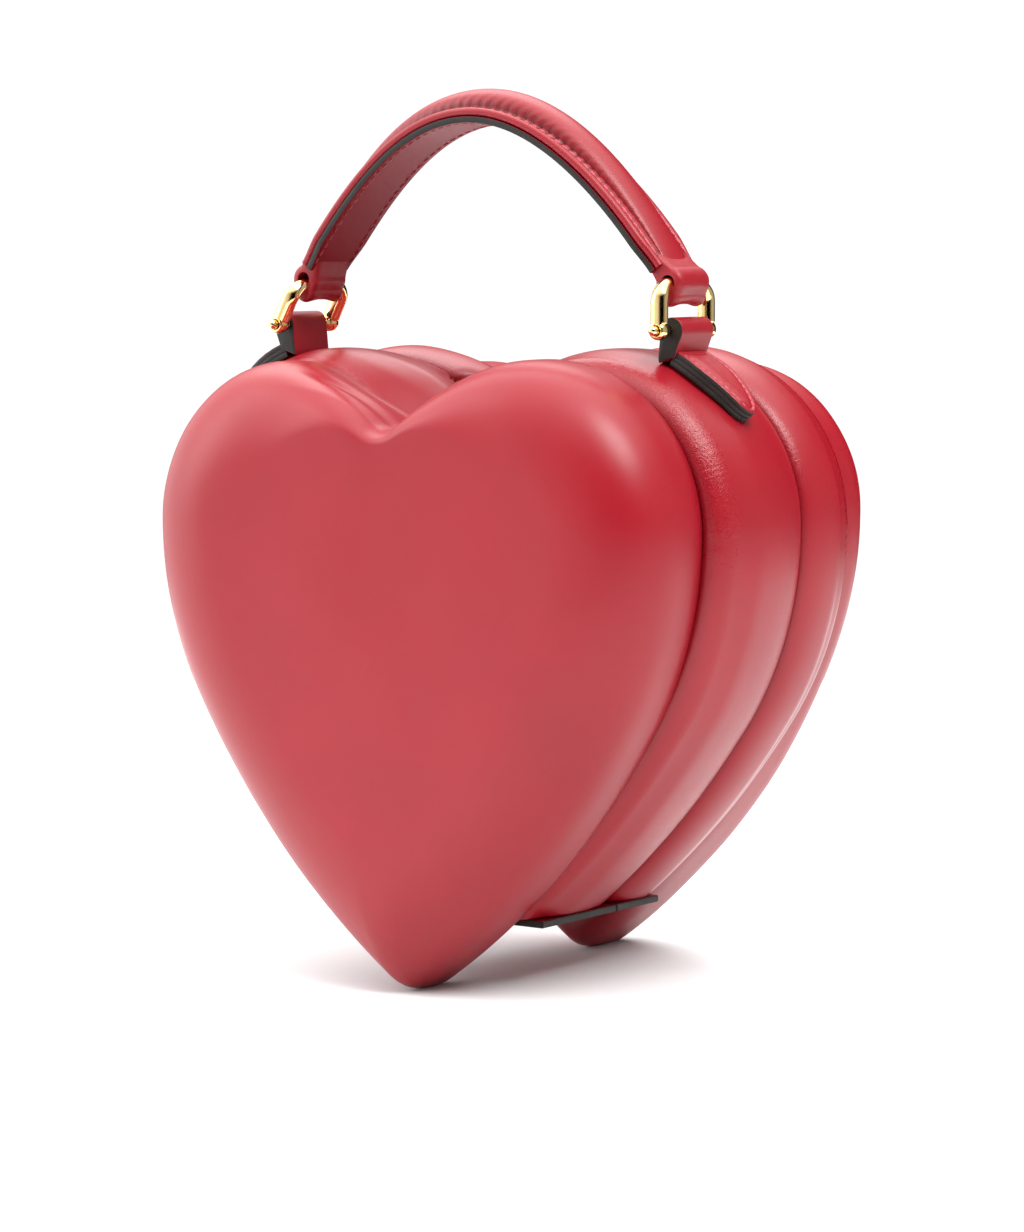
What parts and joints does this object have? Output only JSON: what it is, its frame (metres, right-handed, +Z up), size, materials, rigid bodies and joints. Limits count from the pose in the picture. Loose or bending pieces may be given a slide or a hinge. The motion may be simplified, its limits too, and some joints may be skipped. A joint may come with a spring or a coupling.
{
  "type": "top handle bag",
  "caption": "Heart-shaped top handle bag: two padded hearts joined by a zipped gusset of two rolls, with an arched leather handle on bowed metal rings.",
  "frame": {"origin": "under the middle of the bag, at the level of the heart tips that it stands on", "axes": "+Z up, +X to the bag's right as seen from its front, +Y from the front heart to the rear heart"},
  "size_m": [0.2168, 0.154, 0.2866],
  "materials": {
    "red_leather": "smooth semi-matte nappa",
    "dark_red_leather": "smooth, slightly glossy",
    "lining_cloth": "matte woven",
    "zip_cloth": "matte woven",
    "foam": "matte",
    "board_fibre": "matte",
    "gold_metal": "polished"
  },
  "bodies": {
    "body": {"front_pad_cover": "red_leather", "front_pad_foam": "foam", "front_pad_board": "board_fibre", "front_lining_panel": "lining_cloth", "body_gusset_cover": "red_leather", "body_gusset_foam": "foam", "body_gusset_lining": "lining_cloth", "body_zip_tape": "zip_cloth", "body_zip_teeth": "gold_metal", "body_base_strip": "red_leather", "left_tab": "red_leather", "right_tab": "red_leather"},
    "lid": {"rear_pad_cover": "red_leather", "rear_pad_foam": "foam", "rear_pad_board": "board_fibre", "rear_lining_panel": "lining_cloth", "lid_gusset_cover": "red_leather", "lid_gusset_foam": "foam", "lid_gusset_lining": "lining_cloth", "lid_zip_tape": "zip_cloth", "lid_zip_teeth": "gold_metal", "lid_base_strip": "red_leather"},
    "left_ring": {"left_ring_bow": "gold_metal", "left_ring_pin": "gold_metal"},
    "right_ring": {"right_ring_bow": "gold_metal", "right_ring_pin": "gold_metal"},
    "handle": {"handle_strap": "dark_red_leather", "handle_core": "foam", "handle_cover": "red_leather", "left_handle_loop": "red_leather", "right_handle_loop": "red_leather"},
    "left_slider": {"left_zip_slider": "gold_metal"},
    "left_pull": {"left_zip_pull": "gold_metal"},
    "right_slider": {"right_zip_slider": "gold_metal"},
    "right_pull": {"right_zip_pull": "gold_metal"}
  },
  "joints": [
    {"name": "lid_hinge", "type": "hinge", "parent": "body", "child": "lid", "pos_m": [0, 0.0088, 0.02], "axis": [-1, 0, 0], "range_deg": [0, 80]},
    {"name": "left_ring_swing", "type": "hinge", "parent": "body", "child": "left_ring", "pos_m": [-0.07476, -0.01455, 0.2104], "axis": [0, 1, 0], "range_deg": [-12, 12]},
    {"name": "handle_pivot", "type": "hinge", "parent": "left_ring", "child": "handle", "pos_m": [-0.06817, -0.01455, 0.22332], "axis": [0, 1, 0], "range_deg": [-13, 13]},
    {"name": "right_ring_swing", "type": "hinge", "parent": "body", "child": "right_ring", "pos_m": [0.07476, -0.01455, 0.2104], "axis": [0, 1, 0], "range_deg": [-12, 12]},
    {"name": "left_slider_travel", "type": "hinge", "parent": "body", "child": "left_slider", "pos_m": [-0.0524, 0, 0.1483], "axis": [0, -1, 0], "range_deg": [0, 130]},
    {"name": "left_pull_swing", "type": "hinge", "parent": "left_slider", "child": "left_pull", "pos_m": [-0.01272, 0.0088, 0.18403], "axis": [0, 1, 0], "range_deg": [0, 100]},
    {"name": "right_slider_travel", "type": "hinge", "parent": "body", "child": "right_slider", "pos_m": [0.0524, 0, 0.1483], "axis": [0, 1, 0], "range_deg": [0, 130]},
    {"name": "right_pull_swing", "type": "hinge", "parent": "right_slider", "child": "right_pull", "pos_m": [0.01272, 0.0088, 0.18403], "axis": [0, -1, 0], "range_deg": [0, 100]}
  ],
  "couplings": [
    {"joint": "handle_pivot", "follows": "left_ring_swing", "ratio": -1.0461},
    {"joint": "right_ring_swing", "follows": "left_ring_swing", "ratio": 1}
  ]
}
